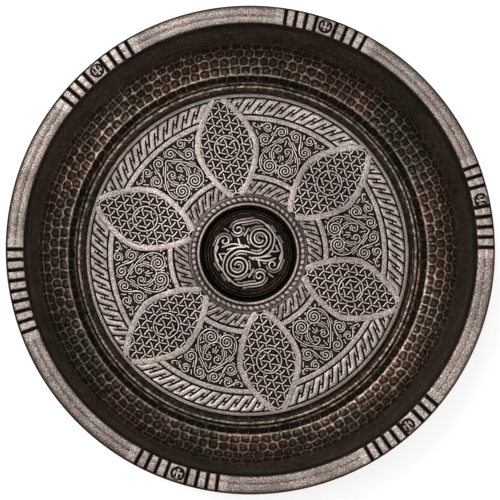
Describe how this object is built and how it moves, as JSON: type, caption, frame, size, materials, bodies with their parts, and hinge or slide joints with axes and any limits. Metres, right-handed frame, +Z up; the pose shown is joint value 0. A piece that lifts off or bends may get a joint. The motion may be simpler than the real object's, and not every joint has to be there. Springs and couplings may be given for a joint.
{
  "type": "hammam bowl",
  "caption": "Shallow round bath bowl with a hammered wall, a ribbed folded rim, a flower-strapped floor and a domed boss.",
  "frame": {"origin": "centre of the underside of the flange that the bowl stands on", "axes": "+Z up along the axis of the bowl; +X towards the picture's right and +Y towards its top"},
  "size_m": [0.2, 0.2, 0.05],
  "materials": {
    "hammered_copper": "silvered and blackened, hammered",
    "rubbed_copper": "silvered, rubbed bright on its high places",
    "chased_copper": "silvered, dark in its recesses",
    "blackened_copper": "blackened satin",
    "hoop_iron": "black iron",
    "soft_solder": "dull tin solder"
  },
  "bodies": {
    "root": {"bowl_shell": "hammered_copper", "rim_band": "rubbed_copper", "rim_hoop": "hoop_iron", "floor_plate": "chased_copper", "floor_bead": "chased_copper", "boss_collar": "chased_copper", "boss_cap": "blackened_copper", "floor_solder": "soft_solder", "bead_solder": "soft_solder", "boss_solder": "soft_solder", "collar_solder": "soft_solder"}
  },
  "joints": []
}
